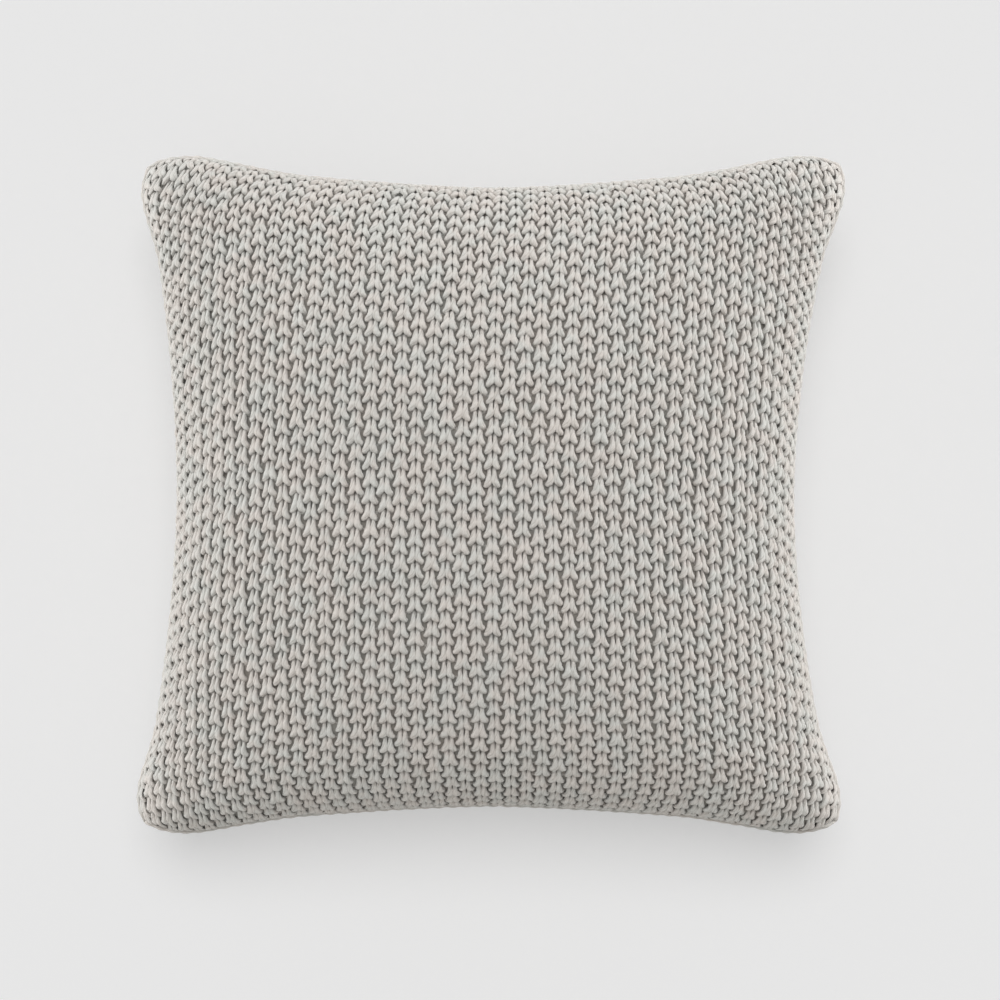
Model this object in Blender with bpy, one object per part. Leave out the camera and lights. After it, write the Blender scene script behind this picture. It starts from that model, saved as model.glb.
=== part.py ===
"""Throw pillow, 20 inch: a zipped seed-stitch cover over a fibre-filled insert.

The pillow lies on its back. +Z points out of its face, +Y towards its top edge, and the floor is Z = 0.
The panels of cover and insert are nested skins of one crowned form, met at a level seam plane.
Sizes are in metres.
"""

import math

import bmesh
import bpy
from mathutils import Vector

# ---- the pillow's form
WIDTH = 0.5186  # corner tip to corner tip along X, before the tips are rounded
HEIGHT = 0.4930  # the same along Y
FACE_CROWN = 0.102  # from the seam plane up to the middle of the face
BACK_CROWN = 0.092  # what the back would bulge if nothing pressed on it
SEAM_HEIGHT = 0.078  # the seam plane above the floor
REST_BLEND = 0.008  # over this height the back turns flat where it meets the floor
SIDE_WAIST = 0.035  # how far each side edge pulls in at its middle
END_WAIST = 0.020  # the same for the top and bottom edges
EDGE_BOW = 1.5  # power of the curve that the top and zip edges follow from waist to corner
SIDE_BOW = 1.8  # power of the side edges' curve
CROWN_POWER = 2.3  # 2 is an ellipse; more is flatter on top and steeper at the rim
CORNER_POWER = 21  # higher is a smaller corner radius
GRID = 22  # faces along each edge of every skin, even, so that one vertex is in the middle

# ---- cover and insert
KNIT_THICKNESS = 0.008
CASING_THICKNESS = 0.0008
CLEARANCE = 0.0003  # between pieces that touch
LINK_YARN_RADIUS = 0.0017
THREAD_RADIUS = 0.0006
LINK_GAP = 0.004  # between the zip's tapes and the start of the linking yarn
LABEL_LENGTH = 0.032
LABEL_WIDTH = 0.016
LABEL_THICKNESS = 0.0004
LABEL_PLACE = -0.3  # along the left edge, from -1 at the bottom to 1 at the top
LABEL_LIFT = 0.0001  # more gap to the knit over the label than at its seam

# ---- zip in the bottom seam
ZIP_LENGTH = 0.300  # of the chain, between its stops
ZIP_SLOT = 0.009  # gap between the two knitted edges along the zip
SLOT_REACH = 0.030  # how far the slot is cut outwards from the wall's inner face
SLOT_BACK = 0.010  # the same inwards
ZIP_MARGIN = 0.010  # the inner skins stay straight this far past the slot
TAPE_WIDTH = 0.011
TAPE_THICKNESS = 0.0006
TAPE_DEPTH = 0.003  # tapes lie this far inside the knitted wall, where the coils fit
TAPE_TUCK = 0.004  # tape hidden past each end of the slot
TAB_ROOM = 0.002  # between the end of the slot and the pull, with the slider run right down
COIL_SIZE = 0.0022
STOP_LENGTH = 0.0030
STOP_LIP = 0.0004  # how far a stop reaches past its coil
STOP_ROUND = 0.0004
SLIDER_LENGTH = 0.010
SLIDER_WALL = 0.0010
SLIDER_ROUND = 0.0005
LUG_HEIGHT = 0.0027
LUG_LENGTH = 0.0034
LUG_SETBACK = 0.0004  # the lugs stand this far in from the slider's sides
LUG_WALL = 0.0008
PIN_RADIUS = 0.0005
EYE_RADIUS = 0.0013
EYE_HOLE = 0.0009
TAB_LENGTH = 0.022
TAB_WIDTH = 0.0054
TAB_THICKNESS = 0.0012
TAB_ROUND = 0.0014
NECK_GAP = 0.0010  # between the lugs and the wide part of the pull
NECK_LAP = 0.0010  # the neck runs this far into the wide part

# ---- derived places
HALF_GAP = CLEARANCE / 2
ZIP_HALF = ZIP_LENGTH / 2
SLIDER_X = ZIP_HALF - SLIDER_LENGTH / 2 - CLEARANCE
SLOT_HALF_LENGTH = max(SLIDER_X + TAB_LENGTH, ZIP_HALF + STOP_LENGTH) + TAB_ROOM
TAPE_HALF = SLOT_HALF_LENGTH + TAPE_TUCK
STRAIGHT_SHARE = (SLOT_HALF_LENGTH + ZIP_MARGIN) / (WIDTH / 2)
SEAM_SLOPE = EDGE_BOW * END_WAIST / ((1.0 - STRAIGHT_SHARE) * WIDTH / 2)  # where an inner edge is steepest
SEAM_SPREAD = math.hypot(1.0, SEAM_SLOPE) / (1.0 - SEAM_SLOPE)  # inset needed there for each unit of gap
LINK_INSET = KNIT_THICKNESS + (LINK_YARN_RADIUS + CLEARANCE) * SEAM_SPREAD
THREAD_INSET = LINK_INSET + (LINK_YARN_RADIUS + THREAD_RADIUS + CLEARANCE) * SEAM_SPREAD
CASING_INSET = THREAD_INSET + (THREAD_RADIUS + CLEARANCE) * SEAM_SPREAD
FILL_INSET = CASING_INSET + CASING_THICKNESS + CLEARANCE
WALL_Y = -(HEIGHT / 2 - END_WAIST - KNIT_THICKNESS)  # inner face of the wall along the zip
TAPE_Y = WALL_Y + TAPE_DEPTH  # outer face of both tapes
COIL_Y = TAPE_Y - CLEARANCE - COIL_SIZE  # outer face of both coils
PLATE_Y = COIL_Y - CLEARANCE - SLIDER_WALL  # outer face of the slider's plate
PIN_Y = PLATE_Y - EYE_RADIUS - CLEARANCE


def clear_scene():
    for old in list(bpy.data.objects):
        bpy.data.objects.remove(old, do_unlink=True)


def material(name, colour, roughness, metallic=0.0):
    made = bpy.data.materials.new(name)
    made.use_nodes = True
    shader = made.node_tree.nodes["Principled BSDF"]
    shader.inputs["Base Color"].default_value = (*colour, 1.0)
    shader.inputs["Roughness"].default_value = roughness
    shader.inputs["Metallic"].default_value = metallic
    return made


def add_object(name, bm, finish, location=(0.0, 0.0, 0.0)):
    bmesh.ops.recalc_face_normals(bm, faces=bm.faces)
    mesh = bpy.data.meshes.new(name)
    bm.to_mesh(mesh)
    bm.free()
    mesh.materials.append(finish)
    made = bpy.data.objects.new(name, mesh)
    made.location = location
    bpy.context.scene.collection.objects.link(made)
    return made


# ---- the crowned form


def edge_bow(share, straight, power):
    """0 at the waist of an edge and 1 at its corner, still 0 as far as the straight share."""
    run = max(abs(share) - straight, 0.0) / (1.0 - straight)
    return run**power


def plan_point(u, v, inset, straight):
    """The place in plan of (u, v), each -1 to 1, on a skin inset from the cover's outer face."""
    zip_edge = straight if v < 0 else 0.0
    side = WIDTH / 2 - inset - SIDE_WAIST * (1.0 - edge_bow(v, 0.0, SIDE_BOW))
    end = HEIGHT / 2 - inset - END_WAIST * (1.0 - edge_bow(u, zip_edge, EDGE_BOW))
    corner = 1.0 - abs(u * v) ** CORNER_POWER / (2 * CORNER_POWER + 1)
    return u * side * corner, v * end * corner


def crown_share(u, v):
    """Height over the seam plane as a share of the crown: 0 on every edge, 1 in the middle."""
    left = (1.0 - abs(u) ** CROWN_POWER) * (1.0 - abs(v) ** CROWN_POWER)
    return max(left, 0.0) ** (1.0 / CROWN_POWER)


def smooth_least(first, second, blend):
    """The lesser of two heights, rounded where they cross."""
    near = max(blend - abs(first - second), 0.0) / blend
    return min(first, second) - near * near * blend / 4


def skin_point(s, t, side, plan_inset, crown_inset, straight):
    """A point of a skin on the face (side 1) or the back (side -1) of the seam plane."""
    u = math.sin(s * math.pi / 2)
    v = math.sin(t * math.pi / 2)
    x, y = plan_point(u, v, plan_inset, straight)
    share = crown_share(u, v)
    if side > 0:
        return Vector((x, y, SEAM_HEIGHT + HALF_GAP + (FACE_CROWN - crown_inset) * share))
    floor = SEAM_HEIGHT - HALF_GAP - crown_inset
    bulge = smooth_least((BACK_CROWN - crown_inset) * share, floor, REST_BLEND)
    return Vector((x, y, SEAM_HEIGHT - HALF_GAP - bulge))


def steps(low, high, count):
    return [low + (high - low) * i / count for i in range(count + 1)]


def grid_of(bm, place, s_steps, t_steps):
    return [[bm.verts.new(place(s, t)) for t in t_steps] for s in s_steps]


def fill_grid(bm, grid):
    """Two triangles for each cell, split alike on every skin so that nested skins stay parallel."""
    for near, far in zip(grid, grid[1:]):
        for j in range(len(near) - 1):
            bm.faces.new((near[j], far[j], far[j + 1]))
            bm.faces.new((near[j], far[j + 1], near[j + 1]))


def rim_of(grid):
    last = len(grid) - 1
    end = len(grid[0]) - 1
    rim = [grid[i][0] for i in range(last)]
    rim += [grid[last][j] for j in range(end)]
    rim += [grid[i][end] for i in range(last, 0, -1)]
    rim += [grid[0][j] for j in range(end, 0, -1)]
    return rim


def close_between(bm, outer, inner):
    """A band of faces between the rims of two grids."""
    first, second = rim_of(outer), rim_of(inner)
    for i in range(len(first)):
        j = (i + 1) % len(first)
        bm.faces.new((first[i], first[j], second[j], second[i]))


def shell(name, finish, side, outer, inner, s_range=(-1.0, 1.0), t_range=(-1.0, 1.0), counts=(GRID, GRID)):
    """A closed solid between two skins, each given as (plan inset, crown inset, straight share)."""
    bm = bmesh.new()
    s_steps = steps(*s_range, counts[0])
    t_steps = steps(*t_range, counts[1])
    grids = []
    for skin in (outer, inner):
        grid = grid_of(bm, lambda s, t, skin=skin: skin_point(s, t, side, *skin), s_steps, t_steps)
        fill_grid(bm, grid)
        grids.append(grid)
    close_between(bm, *grids)
    return add_object(name, bm, finish)


def lens(name, finish, inset, crown_inset, straight):
    """A closed solid with one skin above and one below the seam plane."""
    bm = bmesh.new()
    params = steps(-1.0, 1.0, GRID)
    grids = []
    for side in (1, -1):
        grid = grid_of(
            bm, lambda s, t, side=side: skin_point(s, t, side, inset, crown_inset, straight), params, params
        )
        fill_grid(bm, grid)
        grids.append(grid)
    close_between(bm, *grids)
    return add_object(name, bm, finish)


def seam_outline(inset, first=0.0, last=4.0):
    """Points round the seam, from the bottom left corner, an edge per unit, level with the rims' vertices."""
    points = []
    count = round((last - first) * GRID)
    for i in range(count + 1):
        along = first + (last - first) * i / count
        edge = min(int(along), 3)
        w = math.sin((2 * (along - edge) - 1) * math.pi / 2)
        u, v = ((-1, w), (w, 1), (1, -w), (-w, -1))[edge]
        points.append(Vector((*plan_point(u, v, inset, STRAIGHT_SHARE), SEAM_HEIGHT)))
    return points


def tube(name, finish, points, radius, sides, closed):
    """A tube swept along points that lie in one level plane."""
    bm = bmesh.new()
    rings = []
    count = len(points)
    for i, point in enumerate(points):
        before = points[i - 1] if closed or i else point
        after = points[(i + 1) % count] if closed or i + 1 < count else point
        ahead = (after - before).normalized()
        across = Vector((-ahead.y, ahead.x, 0.0))
        ring = []
        for k in range(sides):
            turn = 2 * math.pi * k / sides
            offset = across * math.cos(turn) + Vector((0, 0, math.sin(turn)))
            ring.append(bm.verts.new(point + offset * radius))
        rings.append(ring)
    pairs = list(zip(rings, rings[1:])) + ([(rings[-1], rings[0])] if closed else [])
    for near, far in pairs:
        for k in range(sides):
            m = (k + 1) % sides
            bm.faces.new((near[k], near[m], far[m], far[k]))
    if not closed:
        bm.faces.new(rings[0])
        bm.faces.new(rings[-1])
    return add_object(name, bm, finish)


def outline_until(points, x):
    """The first points of a run towards -X, ended at x on the straight line between two of them."""
    kept = [p for p in points if p.x > x]
    before, after = kept[-1], points[len(kept)]
    kept.append(before.lerp(after, (before.x - x) / (before.x - after.x)))
    return kept


# ---- boxes and turned pieces of the zip


def block(bm, low, high):
    """Adds a box between two corners and returns its vertices."""
    size = Vector(high) - Vector(low)
    made = bmesh.ops.create_cube(bm, size=1.0)["verts"]
    bmesh.ops.scale(bm, vec=size, verts=made)
    bmesh.ops.translate(bm, vec=(Vector(high) + Vector(low)) / 2, verts=made)
    return made


def box_object(name, finish, low, high, bevel=0.0):
    bm = bmesh.new()
    block(bm, low, high)
    if bevel:
        bmesh.ops.bevel(bm, geom=bm.edges, offset=bevel, segments=2, profile=0.5, affect="EDGES")
    return add_object(name, bm, finish)


def cutter(name, low, high):
    bm = bmesh.new()
    block(bm, low, high)
    made = add_object(name, bm, bpy.data.materials["knit"])
    made.hide_render = True
    made.display_type = "WIRE"
    return made


def rod(radius, low, high, sides):
    """A round bar along Z between two heights, about the local origin."""
    bm = bmesh.new()
    bmesh.ops.create_cone(
        bm, cap_ends=True, segments=sides, radius1=radius, radius2=radius, depth=high - low
    )
    bmesh.ops.translate(bm, vec=(0, 0, (high + low) / 2), verts=bm.verts)
    return bm


def boolean(target, other, operation):
    """Applies one exact Boolean to target and removes the other object."""
    cut = target.modifiers.new("cut", "BOOLEAN")
    cut.operation = operation
    cut.solver = "EXACT"
    cut.object = other
    depsgraph = bpy.context.evaluated_depsgraph_get()
    result = bpy.data.meshes.new_from_object(target.evaluated_get(depsgraph))
    target.modifiers.clear()
    old = target.data
    target.data = result
    bpy.data.meshes.remove(old)
    bpy.data.objects.remove(other, do_unlink=True)


def zip_slot(panel):
    """Leaves the seam open where the zip's coils, slider and pull lie."""
    box = cutter(
        "slot",
        (-SLOT_HALF_LENGTH, WALL_Y - SLOT_REACH, SEAM_HEIGHT - ZIP_SLOT / 2),
        (SLOT_HALF_LENGTH, WALL_Y + SLOT_BACK, SEAM_HEIGHT + ZIP_SLOT / 2),
    )
    boolean(panel, box, "DIFFERENCE")


def make_tapes_and_coils(cloth, nylon):
    """Each tape stands against the wall on its own side of the seam, with its coil on its edge."""
    for name, side in (("front", 1), ("back", -1)):
        near = SEAM_HEIGHT + side * HALF_GAP
        far = near + side * TAPE_WIDTH
        box_object(
            f"zip_tape_{name}",
            cloth,
            (-TAPE_HALF, TAPE_Y, min(near, far)),
            (TAPE_HALF, TAPE_Y + TAPE_THICKNESS, max(near, far)),
        )
        far = near + side * COIL_SIZE
        box_object(
            f"zip_coil_{name}",
            nylon,
            (-ZIP_HALF, COIL_Y, min(near, far)),
            (ZIP_HALF, COIL_Y + COIL_SIZE, max(near, far)),
            bevel=COIL_SIZE * 0.3,
        )


def make_stops(metal):
    """A stop on each tape where the zip closes, and one across both tapes where it opens."""
    reach = COIL_SIZE + STOP_LIP
    for name, side in (("front", 1), ("back", -1)):
        near = SEAM_HEIGHT + side * HALF_GAP
        far = near + side * reach
        box_object(
            f"zip_top_stop_{name}",
            metal,
            (ZIP_HALF + HALF_GAP, COIL_Y, min(near, far)),
            (ZIP_HALF + STOP_LENGTH, COIL_Y + COIL_SIZE, max(near, far)),
            bevel=STOP_ROUND,
        )
    box_object(
        "zip_bottom_stop",
        metal,
        (-ZIP_HALF - STOP_LENGTH, COIL_Y, SEAM_HEIGHT - reach),
        (-ZIP_HALF - HALF_GAP, COIL_Y + COIL_SIZE, SEAM_HEIGHT + reach),
        bevel=STOP_ROUND,
    )


def make_slider(metal):
    """A channel that straddles both coils, with two lugs and the pin that holds the pull."""
    inner = COIL_SIZE + HALF_GAP + CLEARANCE
    outer = inner + SLIDER_WALL
    half = SLIDER_LENGTH / 2
    flange_end = TAPE_Y - CLEARANCE - PIN_Y
    plate = PLATE_Y - PIN_Y
    channel = box_object(
        "zip_slider", metal, (-half, plate, -outer), (half, flange_end, outer), bevel=SLIDER_ROUND
    )
    channel.location = (SLIDER_X, PIN_Y, SEAM_HEIGHT)
    groove = cutter("groove", (-half * 2, plate + SLIDER_WALL, -inner), (half * 2, flange_end * 2, inner))
    groove.location = channel.location
    boolean(channel, groove, "DIFFERENCE")
    lug_outer = outer - LUG_SETBACK
    lug_inner = lug_outer - LUG_WALL
    for low, high in ((lug_inner, lug_outer), (-lug_outer, -lug_inner)):
        bm = bmesh.new()
        foot = (LUG_LENGTH / 2, plate + SLIDER_WALL / 2, high)
        block(bm, (-LUG_LENGTH / 2, plate - LUG_HEIGHT, low), foot)
        lug = add_object("lug", bm, metal, channel.location)
        boolean(channel, lug, "UNION")
    middle = (lug_inner + lug_outer) / 2
    pin = add_object("pin", rod(PIN_RADIUS, -middle, middle, 12), metal, channel.location)
    boolean(channel, pin, "UNION")
    return channel, lug_inner - CLEARANCE


def make_pull_tab(metal, slider, eye_half):
    """A pull with an eye round the slider's pin, lying back along the closed zip."""
    eye = add_object("zip_pull_tab", rod(EYE_RADIUS, -eye_half, eye_half, 20), metal, slider.location)
    half = TAB_THICKNESS / 2
    neck_end = -(LUG_LENGTH / 2 + NECK_GAP)
    neck = bmesh.new()
    block(neck, (neck_end - NECK_LAP, -half, -eye_half), (0.0, half, eye_half))
    boolean(eye, add_object("neck", neck, metal, slider.location), "UNION")
    grip = bmesh.new()
    block(grip, (-TAB_LENGTH, -half, -TAB_WIDTH / 2), (neck_end, half, TAB_WIDTH / 2))
    upright = [e for e in grip.edges if abs(e.verts[0].co.y - e.verts[1].co.y) > half]
    bmesh.ops.bevel(grip, geom=upright, offset=TAB_ROUND, segments=4, profile=0.5, affect="EDGES")
    boolean(eye, add_object("grip", grip, metal, slider.location), "UNION")
    hole = add_object("hole", rod(EYE_HOLE, -eye_half * 2, eye_half * 2, 16), metal, slider.location)
    boolean(eye, hole, "DIFFERENCE")
    eye.parent = slider
    eye.matrix_parent_inverse = slider.matrix_world.inverted()
    return eye


# ---- the whole pillow


def make_cover(knit, yarn, satin):
    wall = (KNIT_THICKNESS, KNIT_THICKNESS, STRAIGHT_SHARE)
    for name, side in (("knit_front_panel", 1), ("knit_back_panel", -1)):
        zip_slot(shell(name, knit, side, (0.0, 0.0, 0.0), wall))
    route = seam_outline(LINK_INSET, 0.0, 3.0)
    tail = outline_until(seam_outline(LINK_INSET, 3.0, 4.0), TAPE_HALF + LINK_GAP)
    lead = [Vector((-p.x, p.y, p.z)) for p in reversed(tail)]
    tube("edge_linking_yarn", yarn, lead[:-1] + route + tail[1:], LINK_YARN_RADIUS, 8, closed=False)
    label_inset = KNIT_THICKNESS + 2 * LINK_YARN_RADIUS
    low = 1.0 - math.asin(4 * LABEL_THICKNESS / FACE_CROWN) * 2 / math.pi
    reach = 1.0 - math.asin(LABEL_WIDTH / FACE_CROWN) * 2 / math.pi
    half = LABEL_LENGTH / HEIGHT * 2 / math.pi
    skins = [(label_inset + t, KNIT_THICKNESS + LABEL_LIFT, 0.0) for t in (0.0, LABEL_THICKNESS)]
    place = (LABEL_PLACE - half, LABEL_PLACE + half)
    shell("care_label", satin, 1, *skins, (-low, -reach), place, (6, 4))


def make_insert(cotton, thread, fibre):
    outer = (CASING_INSET, KNIT_THICKNESS + CLEARANCE, STRAIGHT_SHARE)
    inner = (
        CASING_INSET + CASING_THICKNESS,
        KNIT_THICKNESS + CLEARANCE + CASING_THICKNESS,
        STRAIGHT_SHARE,
    )
    shell("insert_front_casing", cotton, 1, outer, inner)
    shell("insert_back_casing", cotton, -1, outer, inner)
    loop = seam_outline(THREAD_INSET)[:-1]
    tube("insert_seam_thread", thread, loop, THREAD_RADIUS, 6, closed=True)
    fill_crown = KNIT_THICKNESS + CLEARANCE + CASING_THICKNESS + CLEARANCE
    lens("fibre_fill", fibre, FILL_INSET, fill_crown, STRAIGHT_SHARE)


def make_zip(cloth, nylon, metal):
    make_tapes_and_coils(cloth, nylon)
    make_stops(metal)
    slider, eye_half = make_slider(metal)
    bpy.context.view_layer.update()
    make_pull_tab(metal, slider, eye_half)


def main():
    clear_scene()
    knit = material("knit", (0.48, 0.45, 0.42), 0.92)
    yarn = material("yarn", (0.46, 0.43, 0.40), 0.92)
    satin = material("satin", (0.85, 0.84, 0.81), 0.55)
    cotton = material("cotton", (0.86, 0.85, 0.82), 0.90)
    fibre = material("fibre", (0.90, 0.90, 0.89), 0.98)
    cloth = material("tape_cloth", (0.46, 0.44, 0.41), 0.85)
    nylon = material("nylon", (0.44, 0.42, 0.39), 0.45)
    metal = material("zinc", (0.60, 0.59, 0.57), 0.32, 1.0)
    make_cover(knit, yarn, satin)
    make_insert(cotton, cotton, fibre)
    make_zip(cloth, nylon, metal)


main()
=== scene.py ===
"""Looks of the knitted throw pillow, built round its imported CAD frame. Sizes are in metres."""

import math

import bmesh
import bpy
import numpy as np
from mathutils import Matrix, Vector


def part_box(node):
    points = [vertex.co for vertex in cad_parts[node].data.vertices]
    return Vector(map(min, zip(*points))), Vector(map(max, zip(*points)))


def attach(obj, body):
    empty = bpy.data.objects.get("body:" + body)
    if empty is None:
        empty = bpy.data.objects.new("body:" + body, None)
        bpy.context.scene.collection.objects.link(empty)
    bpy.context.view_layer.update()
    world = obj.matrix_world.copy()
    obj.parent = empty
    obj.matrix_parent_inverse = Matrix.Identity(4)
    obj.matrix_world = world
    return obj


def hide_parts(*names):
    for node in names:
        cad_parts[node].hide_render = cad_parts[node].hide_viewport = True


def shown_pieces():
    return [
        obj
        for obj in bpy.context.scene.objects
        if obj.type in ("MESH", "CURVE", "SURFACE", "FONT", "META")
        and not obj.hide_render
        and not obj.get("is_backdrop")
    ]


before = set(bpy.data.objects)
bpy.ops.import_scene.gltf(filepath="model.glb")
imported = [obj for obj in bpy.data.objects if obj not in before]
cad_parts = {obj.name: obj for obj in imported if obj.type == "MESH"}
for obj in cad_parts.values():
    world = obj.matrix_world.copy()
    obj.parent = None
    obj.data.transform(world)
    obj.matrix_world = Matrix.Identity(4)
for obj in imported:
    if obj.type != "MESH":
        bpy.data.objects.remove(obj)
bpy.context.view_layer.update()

# ---- the pillow's form. The CAD has the same one without the tuck, the ears, the shifts, the slot's spread
# lips and this rounding of the corners.
WIDTH = 0.5186
HEIGHT = 0.4930
FACE_CROWN = 0.102
BACK_CROWN = 0.092
SEAM_HEIGHT = 0.078
REST_BLEND = 0.008
SIDE_WAIST = 0.035
END_WAIST = 0.020
TOP_TUCK = 0.004  # the top edge is drawn in a little more than the zip edge
EDGE_BOW = 1.5
SIDE_BOW = 1.8
SIDE_EAR = (0.007, 0.65, 0.25)  # how far the corners stick out, and where along the edge that starts
END_EAR = (0.006, 0.50, 0.35)
CROWN_POWER = 2.3
CORNER_REACH = 0.24  # how far the corners' rounding reaches along each edge
CORNER_CUT = 0.95
WAIST_SHIFT = 0.0051  # the waist lies to the left of the corners
LEAN_SHIFT = 0.0018
HALF_GAP = 0.00015
ZIP_SLOT = 0.009
SLOT_HALF_LENGTH = 0.1687
SLOT_EASE = 0.014  # the slot's lips close over this length past each end
LIP_FADE = 0.012  # the lips' spread dies out over this height

# ---- the knit
WALES = 52
ROWS = 47  # of motifs; neighbouring wales are half a motif apart
WALE = 0.0102  # width of a wale in the flat motif
MOTIF = 0.0117  # length of a motif, two courses
SINK = 0.0030  # how far the motif's own zero lies under the cover's outer skin
GROUND_DEPTH = 0.0052
GROUND_THICKNESS = 0.0008

# Half of one motif's yarn, in millimetres: across from the wale's middle, along towards the top edge, out
# of the fabric, half width, half depth, how freely the point varies from stitch to stitch, and how far the
# yarn has rolled under (1 is upside down).
LEG = (
    (5.10, 10.0, -3.3, 1.50, 1.30, 0.0, 0.0),
    (3.30, 10.3, -3.1, 1.50, 1.35, 0.2, 0.0),
    (1.95, 9.6, -2.3, 1.45, 1.40, 0.6, 0.0),
    (1.65, 8.0, -1.5, 1.38, 1.45, 1.0, 0.0),
    (1.65, 6.0, -0.9, 1.42, 1.50, 1.0, 0.0),
    (1.75, 4.2, -0.4, 1.65, 1.55, 1.0, 0.0),
    (1.65, 2.6, 0.05, 1.95, 1.60, 1.0, 0.0),
    (1.60, 1.0, 0.45, 2.35, 1.65, 1.0, 0.0),
    (1.90, -0.6, 0.7, 2.45, 1.65, 1.0, 0.0),
    (2.65, -1.9, 0.6, 2.30, 1.65, 1.0, 0.0),
    (3.50, -2.9, 0.1, 2.00, 1.75, 1.0, 0.1),
    (4.25, -3.7, -1.0, 1.75, 1.70, 1.0, 0.4),
    (3.60, -4.2, -2.4, 1.65, 1.45, 0.8, 0.75),
    (0.00, -4.5, -3.3, 1.50, 1.30, 0.5, 1.0),
)
ROLL_SIDE = np.array([0.75, 0.0, 0.0])
ROLL_DOWN = -0.66
SWAY = (0.00030, 0.00042, 0.00024, 0.05, 0.035)  # spread of a stitch's place, along 3 axes, size and lean
SWELL = ((0.07, 0.0052, 11), (0.065, 0.0026, 12))  # strength, size and seed of the yarn's uneven thickness
WALE_EASE = 0.15  # over this many stitches the knit is squeezed inside the panel's rim
ROW_EASE = 0.45
ROW_SHIFT = 0.37  # metres by which each row's yarn texture is moved on
FINE = (1, 1, 1, 1, 1, 1, 1, 1, 2, 2, 2, 2, 1)  # steps between those points on the face
COARSE = (1,) * 13
LATTICE = 4  # lattice cells for each wale and each motif
RIM_CELLS = 2  # cells next to a rim that take the normals of the cells inside them
RIM_STITCHES = 2.5  # stitches over which the knit flattens towards a rim
RIM_RELIEF = 0.45
SKIN_GRID = 241  # points along each side of a skin when it is measured
GROUND_GRID = (105, 95)
BAKE_LINE = 400  # rings in each line of a baking sheet
FLOOR_CLEARANCE = 0.0002

# ---- bound edge
EDGE_IN = 0.14  # stitches in from the rim
EDGE_STEPS = 8
EDGE_SIDES = 8
EDGE_RADIUS = 0.0019
EDGE_SINK = 0.0023
EDGE_SWELL = 0.14  # of each link of the chain
EDGE_LUMPS = (0.05, 0.012, 51)  # strength, size and seed

# ---- insert
INSERT_INSET = 0.0135
STRAIGHT_SHARE = 0.70
CASING_CELLS = 72
CASING_WELD = 0.0006
CASING_LUMPS = (0.0007, 0.05, 31)  # height, size and seed
CASING_PRESSURE = 4.0
CASING_SWELL = 0.0015  # the most that the filling pushes the casing out
FILL_DENT = 0.0035

# ---- zip
COIL_PITCH = 0.0014
COIL_WIRE = 0.00034
COIL_STEPS = 10  # for each turn
COIL_SIDES = 6

# ---- stage
EYE = (0.0054, -0.0044)  # the camera's place over the pillow
EYE_HEIGHT = 1.5  # camera over the seam plane
VIEW_WIDTH = 0.7257  # width of the view at the seam plane
FLOOR_SIZE = 8.0
FLOOR_DROP = 0.0003  # the floor lies this far under the pillow
FLOOR_TONES = ((0.68, 0.68, 0.68), (0.685, 0.685, 0.685))
FLOOR_GLOW = 0.325
WORLD_STRENGTH = 0.40
SUN = (1.0, 66.0, 36.0)  # strength, elevation and spread in degrees
LAMP_AIM = (0.0, 0.0, 0.1)
LAMPS = (
    # name, place, size, power, colour
    ("left", (-2.0, 0.7, 0.62), (1.2, 1.8), 45.0, (1.0, 1.0, 1.0)),
    ("right", (2.0, 1.0, 0.62), (1.2, 1.8), 53.0, (1.0, 1.0, 1.0)),
    ("near", (0.0, -2.0, 0.8), (1.6, 1.0), 8.0, (1.0, 0.96, 0.88)),
)


# ---- form


def smooth_least(first, second, blend):
    near = np.maximum(blend - np.abs(first - second), 0.0) / blend
    return np.minimum(first, second) - near * near * blend / 4


def smooth_step(value):
    value = np.clip(value, 0.0, 1.0)
    return value * value * (3.0 - 2.0 * value)


def unit(vectors):
    return vectors / np.linalg.norm(vectors, axis=-1, keepdims=True)


def upright(up, ahead):
    """The part of each up vector that is square to the way ahead, at unit length."""
    return unit(up - (up * ahead).sum(1, keepdims=True) * ahead)


def ring_turns(up, across, sides):
    """Offsets of a ring of points round each point of a line."""
    angle = np.arange(sides) * 2 * math.pi / sides
    return up[:, None] * np.cos(angle)[None, :, None] + across[:, None] * np.sin(angle)[None, :, None]


def run_lengths(line):
    """Length along a line of points, from its start."""
    return np.concatenate([[0.0], np.cumsum(np.linalg.norm(np.diff(line, axis=0), axis=1))])


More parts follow.
